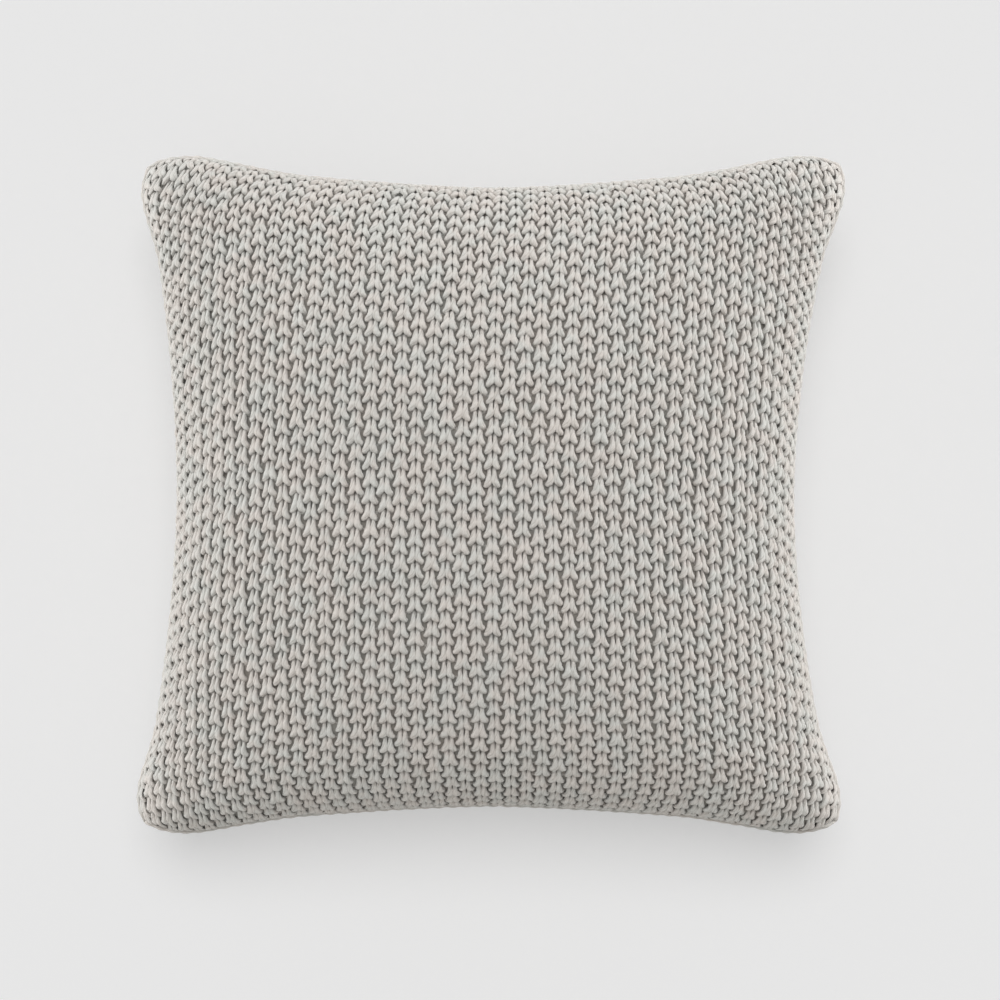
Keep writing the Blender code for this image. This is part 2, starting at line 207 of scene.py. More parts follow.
def skin(s, t, side, inset=0.0, straight=0.0):
    """Points of the face (side 1) or back (side -1), inset from the cover's outer skin.

    Inside the cover, the zip edge is straight over a share of its half length.
    """
    u = np.sin(s * math.pi / 2)
    v = np.sin(t * math.pi / 2)
    half_width = WIDTH / 2 - inset - SIDE_WAIST * (1.0 - np.abs(v) ** SIDE_BOW)
    half_width = half_width + SIDE_EAR[0] * smooth_step((np.abs(v) - SIDE_EAR[1]) / SIDE_EAR[2])
    run = np.where(v < 0, np.maximum(np.abs(u) - straight, 0.0) / (1.0 - straight), np.abs(u))
    half_height = HEIGHT / 2 - inset - (END_WAIST + TOP_TUCK * (v > 0)) * (1.0 - run**EDGE_BOW)
    half_height = half_height + END_EAR[0] * smooth_step((run - END_EAR[1]) / END_EAR[2])
    corner = 1.0 - CORNER_CUT * np.maximum(np.abs(u) + np.abs(v) - 2.0 + CORNER_REACH, 0.0) ** 2
    x = u * half_width * corner - WAIST_SHIFT * (1.0 - v * v) + LEAN_SHIFT * v
    y = v * half_height * corner
    share = np.maximum((1.0 - np.abs(u) ** CROWN_POWER) * (1.0 - np.abs(v) ** CROWN_POWER), 0.0)
    share = share ** (1.0 / CROWN_POWER)
    if side > 0:
        rise = (FACE_CROWN - inset) * share
    else:
        rise = smooth_least((BACK_CROWN - inset) * share, SEAM_HEIGHT - HALF_GAP - inset, REST_BLEND)
    lips = smooth_step((SLOT_HALF_LENGTH + SLOT_EASE - np.abs(x)) / SLOT_EASE) * (v < 0)
    if inset == 0.0:
        rise = rise + lips * (ZIP_SLOT / 2 - HALF_GAP) * np.exp(-rise / LIP_FADE)
    return np.stack([x, y, SEAM_HEIGHT + side * (HALF_GAP + rise)], -1)


def shares(points):
    """Cumulative length along the first axis, from 0 to 1."""
    steps = np.linalg.norm(np.diff(points, axis=0), axis=-1)
    run = np.concatenate([np.zeros((1, *steps.shape[1:])), np.cumsum(steps, 0)])
    return run / run[-1]


class Cloth:
    """One panel as a lattice of even wales and courses over a skin, with the skin's normals."""

    def __init__(self, side, inset=0.0):
        fine = np.linspace(-1.0, 1.0, SKIN_GRID)
        middle = len(fine) // 2
        s, t = np.meshgrid(fine, fine, indexing="ij")
        points = skin(s, t, side)
        across = shares(points)
        along = shares(points.transpose(1, 0, 2)).T
        a = np.linspace(0.0, 1.0, WALES * LATTICE + 1)
        b = np.linspace(0.0, 1.0, ROWS * LATTICE + 1)
        s_mid = np.interp(a, across[:, middle], fine)
        t_mid = np.interp(b, along[middle, :], fine)
        s_rows = np.stack([np.interp(a, across[:, j], fine) for j in range(len(fine))], 1)
        t_columns = np.stack([np.interp(b, along[i, :], fine) for i in range(len(fine))], 0)
        s_at = np.stack([np.interp(t_mid, fine, row) for row in s_rows], 0)
        t_at = np.stack([np.interp(s_mid, fine, column) for column in t_columns.T], 1)
        self.side = side
        self.points = skin(s_at, t_at, side, inset)
        d_across = np.gradient(self.points, axis=0)
        d_along = np.gradient(self.points, axis=1)
        normal = np.cross(d_across, d_along) * side
        normal /= np.maximum(np.linalg.norm(normal, axis=-1, keepdims=True), 1e-12)
        normal[:RIM_CELLS], normal[-RIM_CELLS:] = normal[RIM_CELLS], normal[-RIM_CELLS - 1]
        normal[:, :RIM_CELLS], normal[:, -RIM_CELLS:] = (
            normal[:, RIM_CELLS, None],
            normal[:, -RIM_CELLS - 1, None],
        )
        self.normals = normal

    def place(self, wale, row, out):
        """World points of fabric coordinates: wales from the left, motifs from the bottom, height out."""
        i = np.clip(wale * LATTICE, 0.0, WALES * LATTICE - 1e-6)
        j = np.clip(row * LATTICE, 0.0, ROWS * LATTICE - 1e-6)
        i0, j0 = i.astype(int), j.astype(int)
        fi, fj = (i - i0)[..., None], (j - j0)[..., None]
        made = []
        for field in (self.points, self.normals):
            low = field[i0, j0] * (1 - fj) + field[i0, j0 + 1] * fj
            high = field[i0 + 1, j0] * (1 - fj) + field[i0 + 1, j0 + 1] * fj
            made.append(low * (1 - fi) + high * fi)
        return made[0] + made[1] * out[..., None]


def held_in(value, count, ease):
    """Squeezes what would pass the panel's first or last stitch back inside it."""
    value = np.where(value < ease, ease * np.exp((np.minimum(value, ease) - ease) / ease), value)
    over = np.maximum(value, count - ease) - (count - ease)
    return np.where(value > count - ease, count - ease * np.exp(-over / ease), value)


# ---- the yarn of one motif


def through(points, steps):
    """A Catmull-Rom curve through the points, with its own number of steps between each two."""
    p = np.array(points, float)
    p = np.vstack([2 * p[0] - p[1], p, 2 * p[-1] - p[-2]])
    made = []
    for i, count in enumerate(steps):
        a, b, c, d = p[i : i + 4]
        for k in range(count):
            t = k / count
            square = (2 * a - 5 * b + 4 * c - d) * t**2
            cube = (3 * b - a - 3 * c + d) * t**3
            made.append(0.5 * (2 * b + (c - a) * t + square + cube))
    made.append(p[-2])
    return np.array(made)


def motif(steps, sides):
    """Centre line, ring offsets and freedom of a motif's yarn, from its left sinker to its right one."""
    right = through(LEG, steps)
    right[0, 1:3] = LEG[0][1:3]
    left = right.copy()
    left[:, 0] *= -1
    path = np.vstack([left, right[::-1][1:]])
    line, wide, deep, free = path[:, :3], path[:, 3], path[:, 4], path[:, 5]
    ahead = np.gradient(line, axis=0)
    ahead[0] = ahead[-1] = (1.0, 0.0, 0.0)
    ahead = unit(ahead)
    roll = path[:, 6:7] * math.pi
    under = np.sign(line[:, :1]) * ROLL_SIDE + np.array([0.0, ROLL_DOWN, 0.0])
    up = upright(np.cos(roll) * np.array([0.0, 0.0, 1.0]) + np.sin(roll) * under, ahead)
    across = np.cross(ahead, up)
    rings = ring_turns(deep[:, None] * up, wide[:, None] * across, sides)
    return line * 0.001, rings * 0.001, free


def lumps(points, size, seed):
    """Smooth noise of about unit spread, from a few waves in seeded directions."""
    random = np.random.default_rng(seed)
    total = 0.0
    count = 7
    for _ in range(count):
        wave = random.normal(size=3)
        wave *= 2 * math.pi / size / np.linalg.norm(wave) * random.uniform(0.7, 1.4)
        total = total + np.sin(points @ wave + random.uniform(0.0, 2 * math.pi))
    return total / math.sqrt(count)


def varied_stitches(steps, sides, random):
    """Rings of every stitch of a row, each about its own place, and how far each ring is from a sinker."""
    line, rings, free = motif(steps, sides)
    count = len(line) - 1
    sway = random.normal(size=(WALES, 5)) * SWAY
    lean = sway[:, None, 4:5] * free[None, :, None]
    centre = line[None] + free[None, :, None] * sway[:, None, :3]
    centre[..., 0:1] += lean * line[None, :, 1:2]
    scale = 1.0 + free[None, :, None, None] * sway[:, None, None, 3:4]
    flat = centre[:, :, None, :] + rings[None] * scale
    flat = np.concatenate([flat[:, :count].reshape(-1, sides, 3), flat[-1:, count]])
    tie = np.append(np.tile(1.0 - free[:count], WALES), 1.0 - free[count])
    return flat, tie, count


def flat_row(row, steps, sides, random):
    """One row's yarn on flat fabric. Odd wales lie half a motif further up, and sinkers join the two."""
    flat, tie, count = varied_stitches(steps, sides, random)
    wales = np.arange(WALES)
    odd = wales % 2
    wale_of = np.append(np.repeat(wales, count), WALES - 1)
    toward = np.append(np.repeat(0.25 - 0.5 * odd, count), 0.25 - 0.5 * odd[-1])
    wale = wale_of[:, None] + 0.5 + flat[..., 0] / WALE
    start = (0.25 + 0.5 * (wale_of % 2))[:, None]
    along = row + start + flat[..., 1] / MOTIF + (tie * toward)[:, None]
    fabric = np.stack([wale * WALE, along * MOTIF, flat[..., 2]], -1)
    swell = sum(strength * lumps(fabric, size, seed) for strength, size, seed in SWELL)
    middle = fabric.mean(1, keepdims=True)
    return middle + (fabric - middle) * (1.0 + swell[..., None])


def row_of_yarn(cloth, row, steps, sides, random):
    """Rings of one yarn that knits a motif in every wale of a row, and its length at each ring."""
    fabric = flat_row(row, steps, sides, random)
    wale = held_in(fabric[..., 0] / WALE, WALES, WALE_EASE)
    along = held_in(fabric[..., 1] / MOTIF, ROWS, ROW_EASE)
    edge = np.minimum(np.minimum(wale, WALES - wale), np.minimum(along, ROWS - along))
    relief = RIM_RELIEF + (1.0 - RIM_RELIEF) * smooth_step(edge / RIM_STITCHES)
    points = cloth.place(wale, along, fabric[..., 2] * relief - SINK)
    return points, run_lengths(points.mean(1))


# ---- meshes


def mesh_object(name, points, faces, finish):
    """faces is a list of integer arrays, each of polygons with one number of corners."""
    mesh = bpy.data.meshes.new(name)
    corners = np.concatenate([f.reshape(-1) for f in faces])
    sizes = np.concatenate([np.full(len(f), f.shape[1]) for f in faces])
    mesh.vertices.add(len(points))
    mesh.vertices.foreach_set("co", points.reshape(-1).astype(np.float32))
    mesh.loops.add(len(corners))
    mesh.loops.foreach_set("vertex_index", corners.astype(np.int32))
    mesh.polygons.add(len(sizes))
    starts = np.concatenate([[0], np.cumsum(sizes)[:-1]])
    mesh.polygons.foreach_set("loop_start", starts.astype(np.int32))
    mesh.polygons.foreach_set("use_smooth", np.full(len(sizes), True))
    mesh.update(calc_edges=True)
    mesh.materials.append(finish)
    made = bpy.data.objects.new(name, mesh)
    bpy.context.scene.collection.objects.link(made)
    return made


def tube_faces(rings, sides, start, reverse):
    """Side quads and end caps of a tube whose rings of points follow each other."""
    index = start + np.arange(rings * sides).reshape(rings, sides)
    near, far = index[:-1], index[1:]
    quads = np.stack([near, np.roll(near, -1, 1), np.roll(far, -1, 1), far], -1).reshape(-1, 4)
    caps = np.stack([index[0, ::-1], index[-1]])
    if reverse:
        return quads[:, ::-1], caps[:, ::-1]
    return quads, caps


def set_uv(mesh, name, values):
    layer = mesh.uv_layers.new(name=name)
    layer.data.foreach_set("uv", values.reshape(-1).astype(np.float32))


def tube_uvs(lengths, sides, reverse):
    """For each side quad's corners: metres along the yarn and share of the way round."""
    along = np.stack([lengths[:-1], lengths[:-1], lengths[1:], lengths[1:]], -1)
    along = np.repeat(along[:, None, :], sides, 1)
    k = np.arange(sides) / sides
    round_it = np.stack([k, k + 1 / sides, k + 1 / sides, k], -1)
    round_it = np.repeat(round_it[None], len(lengths) - 1, 0)
    made = np.stack([along, round_it], -1).reshape(-1, 4, 2)
    return made[:, ::-1] if reverse else made


def bake_uvs(rings, sides, reverse, first, lines):
    """Gives every side quad its own place in a sheet of lines, for baking."""
    ring = first + np.arange(rings - 1)
    column, line = ring % BAKE_LINE, ring // BAKE_LINE
    x = np.stack([column, column, column + 1, column + 1], -1)[:, None, :] / BAKE_LINE
    k = np.arange(sides) / sides
    y = np.stack([k, k + 1 / sides, k + 1 / sides, k], -1)[None]
    x = np.repeat(x, sides, 1)
    y = (line[:, None, None] + 0.9 * np.repeat(y, rings - 1, 0)) / lines
    made = np.stack([x, y], -1).reshape(-1, 4, 2)
    return made[:, ::-1] if reverse else made


def band_of_rows(name, cloth, rows, steps, sides, finish, random):
    """Some rows of knitting as one piece. Each row's yarn is a closed tube of its own."""
    reverse = cloth.side < 0
    per_row = WALES * (len(motif(steps, sides)[0]) - 1) + 1
    total = per_row * len(rows)
    lines = math.ceil(total / BAKE_LINE) + 1
    points, quads, caps, yarn_uv, bake_uv = [], [], [], [], []
    for n, row in enumerate(rows):
        rings, lengths = row_of_yarn(cloth, row, steps, sides, random)
        points.append(rings.reshape(-1, 3))
        q, c = tube_faces(per_row, sides, n * per_row * sides, reverse)
        quads.append(q)
        caps.append(c)
        yarn_uv.append(tube_uvs(lengths + ROW_SHIFT * row, sides, reverse))
        bake_uv.append(bake_uvs(per_row, sides, reverse, n * per_row, lines))
    points = np.concatenate(points)
    points[:, 2] = np.maximum(points[:, 2], FLOOR_CLEARANCE)
    made = mesh_object(name, points, [np.concatenate(quads), np.concatenate(caps)], finish)
    cap_uv = np.zeros((2 * len(rows) * sides, 2))
    yarn_uv = np.concatenate(yarn_uv).reshape(-1, 2)
    bake_uv = np.concatenate(bake_uv).reshape(-1, 2)
    set_uv(made.data, "yarn", np.concatenate([yarn_uv, cap_uv]))
    set_uv(made.data, "OFBake", np.concatenate([bake_uv, cap_uv + 0.999]))
    return made


def closed_sheet(name, outer, inner, finish, reverse):
    """A closed thin solid between two grids of points."""
    m, n = outer.shape[:2]
    index = np.arange(m * n).reshape(m, n)
    a, b, c, d = index[:-1, :-1], index[1:, :-1], index[1:, 1:], index[:-1, 1:]
    top = np.stack([a, b, c, d], -1).reshape(-1, 4)
    bottom = top[:, ::-1] + m * n
    rim = np.concatenate([index[:-1, 0], index[-1, :-1], index[:0:-1, -1], index[0, :0:-1]])
    after = np.roll(rim, -1)
    wall = np.stack([rim, rim + m * n, after + m * n, after], -1)
    faces = np.concatenate([top, bottom, wall])
    if reverse:
        faces = faces[:, ::-1]
    points = np.concatenate([outer.reshape(-1, 3), inner.reshape(-1, 3)])
    return mesh_object(name, points, [faces], finish)


# ---- materials


class Nodes:
    """Short calls that add shader nodes to one material."""

    def __init__(self, name):
        self.material = bpy.data.materials.new(name)
        self.material.use_nodes = True
        self.tree = self.material.node_tree
        self.shader = self.tree.nodes["Principled BSDF"]

    def add(self, kind, **settings):
        node = self.tree.nodes.new(kind)
        for key, value in settings.items():
            setattr(node, key, value)
        return node

    def link(self, value, socket):
        if isinstance(value, bpy.types.NodeSocket):
            self.tree.links.new(value, socket)
        else:
            socket.default_value = value

    def math(self, operation, *values):
        node = self.add("ShaderNodeMath", operation=operation)
        for value, socket in zip(values, node.inputs):
            self.link(value, socket)
        return node.outputs[0]

    def place(self):
        return self.add("ShaderNodeTexCoord").outputs["Object"]

    def noise(self, scale, detail=2.0, vector=None, roughness=0.5):
        node = self.add("ShaderNodeTexNoise")
        node.inputs["Scale"].default_value = scale
        node.inputs["Detail"].default_value = detail
        node.inputs["Roughness"].default_value = roughness
        self.link(self.place() if vector is None else vector, node.inputs["Vector"])
        return node.outputs[0]

    def ramp(self, value, stops):
        node = self.add("ShaderNodeValToRGB")
        ramp = node.color_ramp
        while len(ramp.elements) < len(stops):
            ramp.elements.new(0.5)
        for element, (at, colour) in zip(ramp.elements, stops):
            element.position = at
            element.color = (*colour, 1.0)
        self.link(value, node.inputs[0])
        return node.outputs[0]

    def mix(self, share, first, second, blend="MIX"):
        node = self.add("ShaderNodeMix", data_type="RGBA", blend_type=blend)
        self.link(share, node.inputs[0])
        self.link(first, node.inputs[6])
        self.link(second, node.inputs[7])
        return node.outputs[2]

    def bump(self, height, distance, strength=1.0):
        node = self.add("ShaderNodeBump")
        node.inputs["Distance"].default_value = distance
        node.inputs["Strength"].default_value = strength
        self.link(height, node.inputs["Height"])
        self.link(node.outputs[0], self.shader.inputs["Normal"])

    def set(self, **values):
        names = {"colour": "Base Color", "roughness": "Roughness", "metallic": "Metallic"}
        names.update(sheen="Sheen Weight", sheen_roughness="Sheen Roughness", specular="Specular IOR Level")
        for key, value in values.items():
            self.link(value, self.shader.inputs[names[key]])


def yarn_material(name, warm, cool, ply_length=0.030):
    """Soft plied acrylic: blotches of two near colours, plies that turn round the yarn with painted shade
    in the grooves between them, and fine fibres.
    """
    n = Nodes(name)
    uv = n.add("ShaderNodeUVMap", uv_map="yarn").outputs[0]
    split = n.add("ShaderNodeSeparateXYZ")
    n.link(uv, split.inputs[0])
    along, round_it = split.outputs[0], split.outputs[1]
    wound = n.math("MULTIPLY", along, 3.0 / ply_length)
    turn = n.math("SUBTRACT", n.math("MULTIPLY", round_it, 3.0), wound)
    ply = n.math("ABSOLUTE", n.math("SINE", n.math("MULTIPLY", turn, math.pi)))
    join = n.add("ShaderNodeCombineXYZ")
    n.link(n.math("MULTIPLY", along, 260.0), join.inputs[0])
    slant = n.math("ADD", n.math("MULTIPLY", round_it, 34.0), n.math("MULTIPLY", along, -1100.0))
    n.link(slant, join.inputs[1])
    fibres = n.noise(1.0, 4.0, join.outputs[0], 0.65)
    fuzz = n.noise(900.0, 3.0)
    patches = n.noise(38.0, 3.0, roughness=0.6)
    stitches = n.noise(130.0, 2.0)
    tone = n.math("ADD", n.math("MULTIPLY", patches, 0.6), n.math("MULTIPLY", stitches, 0.4))
    dye = n.ramp(tone, [(0.40, cool), (0.58, warm)])
    streak = n.ramp(fibres, [(0.25, (0.80, 0.79, 0.78)), (0.6, (1.0, 1.0, 1.0))])
    # Painted shade: the yarn's colour is darkened in the grooves between its plies.
    ply_groove_shade = n.ramp(ply, [(0.0, (0.74, 0.73, 0.71)), (0.35, (1.0, 1.0, 1.0))])
    colour = n.mix(1.0, n.mix(1.0, dye, streak, "MULTIPLY"), ply_groove_shade, "MULTIPLY")
    n.set(colour=colour, sheen=0.25, sheen_roughness=0.5, specular=0.25)
    n.set(roughness=n.math("ADD", n.math("MULTIPLY", fibres, 0.12), 0.84))
    height = n.math("ADD", n.math("MULTIPLY", ply, 0.45), n.math("MULTIPLY", fibres, 0.5))
    n.bump(n.math("ADD", height, n.math("MULTIPLY", fuzz, 0.35)), 0.0007, 0.85)
    return n.material


def woven_material(name, colour, painted_hollow_shade, thread, roughness, sheen):
    """A plain weave, whose threads show in colour and bump whichever way the surface faces, with painted
    shade in the weave's hollows and real slubs of uneven tone.
    """
    n = Nodes(name)
    split = n.add("ShaderNodeSeparateXYZ")
    n.link(n.place(), split.inputs[0])
    waves = []
    for axis in range(3):
        waves.append(n.math("SINE", n.math("MULTIPLY", split.outputs[axis], 2 * math.pi / thread)))
    weave = n.math("ADD", n.math("MULTIPLY", waves[0], waves[1]), n.math("MULTIPLY", waves[1], waves[2]))
    weave = n.math("ADD", weave, n.math("MULTIPLY", waves[2], waves[0]))
    weave = n.math("ADD", n.math("MULTIPLY", weave, 0.33), 0.5)
    slubs = n.noise(300.0, 3.0)
    shade = n.math("ADD", n.math("MULTIPLY", weave, 0.6), n.math("MULTIPLY", slubs, 0.4))
    # Painted shade: the weave's low places take the darker colour; the slubs' share is the threads' own
    # uneven tone.
    n.set(colour=n.ramp(shade, [(0.2, painted_hollow_shade), (0.6, colour)]), sheen=sheen, sheen_roughness=0.4)
    n.set(roughness=n.math("ADD", n.math("MULTIPLY", slubs, 0.1), roughness))
    n.bump(shade, thread * 0.25, 0.6)
    return n.material


def fibre_material():
    """Loose white polyester fibre."""
    n = Nodes("loose_fibre")
    curls = n.noise(160.0, 5.0, roughness=0.7)
    n.set(colour=n.ramp(curls, [(0.3, (0.74, 0.74, 0.73)), (0.7, (0.90, 0.90, 0.89))]))
    n.set(roughness=0.95, sheen=0.5, sheen_roughness=0.6)
    n.bump(curls, 0.002, 0.8)
    return n.material


def nylon_material():
    """Dyed nylon monofilament with fine draw lines."""
    n = Nodes("nylon_coil")
    lines = n.noise(2200.0, 2.0)
    n.set(colour=n.ramp(lines, [(0.3, (0.40, 0.38, 0.35)), (0.7, (0.50, 0.48, 0.44))]))
    n.set(roughness=n.math("ADD", n.math("MULTIPLY", lines, 0.15), 0.32), specular=0.5)
    n.bump(lines, 0.00004, 0.6)
    return n.material


def metal_material():
    """Nickel-plated zinc, tumbled satin, with faint scuffs."""
    n = Nodes("plated_zinc")
    stretch = n.add("ShaderNodeMapping")
    stretch.inputs["Scale"].default_value = (1.0, 6.0, 6.0)
    n.link(n.place(), stretch.inputs["Vector"])
    grain = n.noise(1500.0, 3.0, stretch.outputs[0])
    scuffs = n.noise(420.0, 4.0)
    n.set(colour=n.ramp(scuffs, [(0.35, (0.52, 0.51, 0.49)), (0.65, (0.66, 0.65, 0.63))]), metallic=1.0)
    n.set(roughness=n.math("ADD", n.math("MULTIPLY", scuffs, 0.25), 0.2))
    n.bump(grain, 0.00002, 0.5)
    return n.material


def floor_material():
    """A pale sweep that glows a little, so that it stays even."""
    n = Nodes("pale_floor")
    mottle = n.noise(3.0, 2.0)
    colour = n.ramp(mottle, [(0.0, FLOOR_TONES[0]), (1.0, FLOOR_TONES[1])])
    n.set(colour=colour, roughness=0.9, specular=0.0)
    n.shader.inputs["Emission Color"].default_value = (1.0, 1.0, 1.0, 1.0)
    n.shader.inputs["Emission Strength"].default_value = FLOOR_GLOW
    return n.material


# ---- pieces


def knit_panel(name, cloth, steps, sides, bands, finish, seed):
    """All rows of one panel, in bands that are pieces of their own."""
    random = np.random.default_rng(seed)
    node = f"knit_{name}_panel"
    made = []
    edges = np.linspace(0, ROWS, bands + 1).round().astype(int)
    for i in range(bands):
        rows = range(edges[i], edges[i + 1])
        band = band_of_rows(f"knit_{name}_rows_{i + 1}", cloth, rows, steps, sides, finish, random)
        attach(band, "pillow")
        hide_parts(node)
        made.append(band)
    return made


def edge_round(low, right, top):
    """Fabric places once round a panel, a little in from its rim."""
    a = np.linspace(low, right, WALES * EDGE_STEPS, endpoint=False)
    b = np.linspace(low, top, ROWS * EDGE_STEPS, endpoint=False)
    back, down = a[::-1] + (a[1] - a[0]), b[::-1] + (b[1] - b[0])
    wale = np.concatenate([a, np.full(len(b), right), back, np.full(len(b), low)])
    row = np.concatenate([np.full(len(a), low), b, np.full(len(a), top), down])
    return wale, row


def edge_rings(cloth):
    """Rings of the chain's yarn, thicker and thinner with each link, closed on themselves."""
    wale, row = edge_round(EDGE_IN, WALES - EDGE_IN, ROWS - EDGE_IN)
    line = cloth.place(wale, row, np.full(len(wale), -EDGE_SINK))
    up = cloth.place(wale, row, np.full(len(wale), 1.0 - EDGE_SINK)) - line
    ahead = unit(np.roll(line, -1, 0) - np.roll(line, 1, 0))
    up = upright(up, ahead)
    link = np.arange(len(line)) * math.pi / EDGE_STEPS * 2
    strength, size, seed = EDGE_LUMPS
    radius = EDGE_RADIUS * (1.0 + EDGE_SWELL * np.sin(link) + strength * lumps(line, size, seed))
    rings = line[:, None] + radius[:, None, None] * ring_turns(up, np.cross(ahead, up), EDGE_SIDES)
    rings = np.concatenate([rings, rings[:1]])
    rings[..., 2] = np.maximum(rings[..., 2], FLOOR_CLEARANCE)
    return rings


def bound_edge(name, cloth, finish):
    """The chain of yarn that binds off a panel all round."""
    rings = edge_rings(cloth)
    quads, caps = tube_faces(len(rings), EDGE_SIDES, 0, False)
    made = mesh_object(f"knit_{name}_edge", rings.reshape(-1, 3), [quads, caps], finish)
    uv = tube_uvs(run_lengths(rings.mean(1)), EDGE_SIDES, False).reshape(-1, 2)
    set_uv(made.data, "yarn", np.concatenate([uv, np.zeros((2 * EDGE_SIDES, 2))]))
    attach(made, "pillow")
    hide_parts(f"knit_{name}_panel")
    return made


def knit_ground(name, cloth, finish):
    """The inner side of a panel's fabric, which shows between the stitches, in a finish painted darker as
    shade.
    """
    wale_places = np.linspace(0, WALES, GROUND_GRID[0])
    row_places = np.linspace(0, ROWS, GROUND_GRID[1])
    wale, row = np.meshgrid(wale_places, row_places, indexing="ij")
    depth = np.full(wale.shape, -GROUND_DEPTH)
    outer = cloth.place(wale, row, depth)
    inner = cloth.place(wale, row, depth - GROUND_THICKNESS)
    made = closed_sheet(f"knit_{name}_ground", outer, inner, finish, cloth.side < 0)
    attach(made, "pillow")
    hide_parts(f"knit_{name}_panel")
    return made


def weld(thing, distance):
    bm = bmesh.new()
    bm.from_mesh(thing.data)
    bmesh.ops.remove_doubles(bm, verts=bm.verts, dist=distance)
    bmesh.ops.recalc_face_normals(bm, faces=bm.faces)
    bm.to_mesh(thing.data)
    bm.free()


def vertex_array(mesh):
    flat = np.empty(len(mesh.vertices) * 3, np.float32)
    mesh.vertices.foreach_get("co", flat)
    return flat.reshape(-1, 3).astype(float)


def blown_up(thing, pressure, most, frames=20):
    """Lets air pressure fill the mesh as cloth, then keeps no more than a little of its movement."""
    start = vertex_array(thing.data)
    cloth = thing.modifiers.new("cloth", "CLOTH")
    cloth.settings.use_pressure = True
    cloth.settings.uniform_pressure_force = pressure
    cloth.settings.effector_weights.gravity = 0.0
    cloth.settings.bending_stiffness = 0.2
    cloth.settings.quality = 5
    cloth.point_cache.frame_end = frames
    scene = bpy.context.scene
    for number in range(1, frames + 1):
        scene.frame_set(number)
    graph = bpy.context.evaluated_depsgraph_get()
    moved = vertex_array(thing.evaluated_get(graph).data)
    thing.modifiers.remove(cloth)
    scene.frame_set(1)
    step = moved - start
    reach = np.linalg.norm(step, axis=1, keepdims=True)
    capped = step * np.minimum(1.0, most / np.maximum(reach, 1e-9))
    share = np.minimum(reach / max(reach.max(), 1e-9), 1.0)
    thing.data.vertices.foreach_set("co", (start + capped * share**0.5).reshape(-1).astype(np.float32))
    thing.data.update()


def insert_cover(finish):
    """The insert's cotton casing: both faces as one closed cushion, filled out by simulated cloth."""
    fine = np.linspace(-1.0, 1.0, CASING_CELLS + 1)
    s, t = np.meshgrid(fine, fine, indexing="ij")
    top = skin(s, t, 1, INSERT_INSET, STRAIGHT_SHARE)
    bottom = skin(s, t, -1, INSERT_INSET, STRAIGHT_SHARE)
    height, size, seed = CASING_LUMPS
    for points in (top, bottom):
        uneven = height * lumps(points, size, seed)
        points[..., 2] += uneven * np.cos(s * math.pi / 2) * np.cos(t * math.pi / 2)
    made = closed_sheet("insert_cover", top, bottom, finish, False)
    weld(made, CASING_WELD)
    blown_up(made, CASING_PRESSURE, CASING_SWELL)
    for face in made.data.polygons:
        face.use_smooth = True
    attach(made, "pillow")
    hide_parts("insert_front_casing", "insert_back_casing")
    return made


def copy_of_node(node, name, finish, cuts):
    """A finer copy of a CAD node's mesh, for a piece that takes its place."""
    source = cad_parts[node]
    made = bpy.data.objects.new(name, source.data.copy())
    bm = bmesh.new()
    bm.from_mesh(made.data)
    bm.transform(source.matrix_world)
    bmesh.ops.remove_doubles(bm, verts=bm.verts, dist=1e-6)
    bmesh.ops.subdivide_edges(bm, edges=bm.edges, cuts=cuts, use_grid_fill=True)
    bmesh.ops.triangulate(bm, faces=bm.faces)
    bm.to_mesh(made.data)
    bm.free()
    made.data.materials.clear()
    made.data.materials.append(finish)
    bpy.context.scene.collection.objects.link(made)
    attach(made, "pillow")
    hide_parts(node)
    return made


def loose_filling(finish):
    """The filling, with the dents and clumps of loose fibre."""
    made = copy_of_node("fibre_fill", "loose_filling", finish, 2)
    mesh = made.data
    points = vertex_array(mesh)
    normals = np.array([vertex.normal for vertex in mesh.vertices])
    clumps = 0.5 + 0.25 * lumps(points, 0.035, 41) + 0.15 * lumps(points, 0.014, 42)
    points -= normals * (FILL_DENT * np.clip(clumps, 0.0, 1.0))[:, None]
    mesh.vertices.foreach_set("co", points.reshape(-1).astype(np.float32))
    for face in mesh.polygons:
        face.use_smooth = True
    return made


def care_label(finish):
    made = copy_of_node("care_label", "care_label_cloth", finish, 3)
    return made


def coil(side, finish):
    """Half of a nylon coil zip: a helix of monofilament inside its CAD bar."""
    name = "front" if side > 0 else "back"
    node = f"zip_coil_{name}"
    low, high = (Vector(c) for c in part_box(node))
    radius = (high.y - low.y) / 2 - COIL_WIRE
    turns = round((high.x - low.x - 2 * COIL_WIRE) / COIL_PITCH)
    count = turns * COIL_STEPS + 1
    angle = np.arange(count) * 2 * math.pi / COIL_STEPS + (math.pi if side < 0 else 0.0)
    x = np.linspace(low.x + COIL_WIRE, high.x - COIL_WIRE, count)
    y = (low.y + high.y) / 2 + radius * np.cos(angle)
    z = (low.z + high.z) / 2 + radius * np.sin(angle)
    line = np.stack([x, y, z], -1)
    ahead = unit(np.gradient(line, axis=0))
    out = np.stack([np.zeros(count), np.cos(angle), np.sin(angle)], -1)
    rings = line[:, None] + COIL_WIRE * ring_turns(out, np.cross(ahead, out), COIL_SIDES)
    quads, caps = tube_faces(count, COIL_SIDES, 0, False)
    made = mesh_object(f"coil_{name}", rings.reshape(-1, 3), [quads, caps], finish)
    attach(made, "pillow")
    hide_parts(node)
    return made


def finish_nodes(table):
    """Gives CAD nodes that stay as they are their own surfaces."""
    for names, finish in table:
        for name in names:
            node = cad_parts[name]
            node.data.materials.clear()
            node.data.materials.append(finish)


# ---- stage


def make_camera():
    data = bpy.data.cameras.new("camera")
    data.sensor_width = 36.0
    data.lens = data.sensor_width * EYE_HEIGHT / VIEW_WIDTH
    data.clip_end = 50.0
    made = bpy.data.objects.new("camera", data)
    made.location = (*EYE, SEAM_HEIGHT + EYE_HEIGHT)
    bpy.context.scene.collection.objects.link(made)
    bpy.context.scene.camera = made


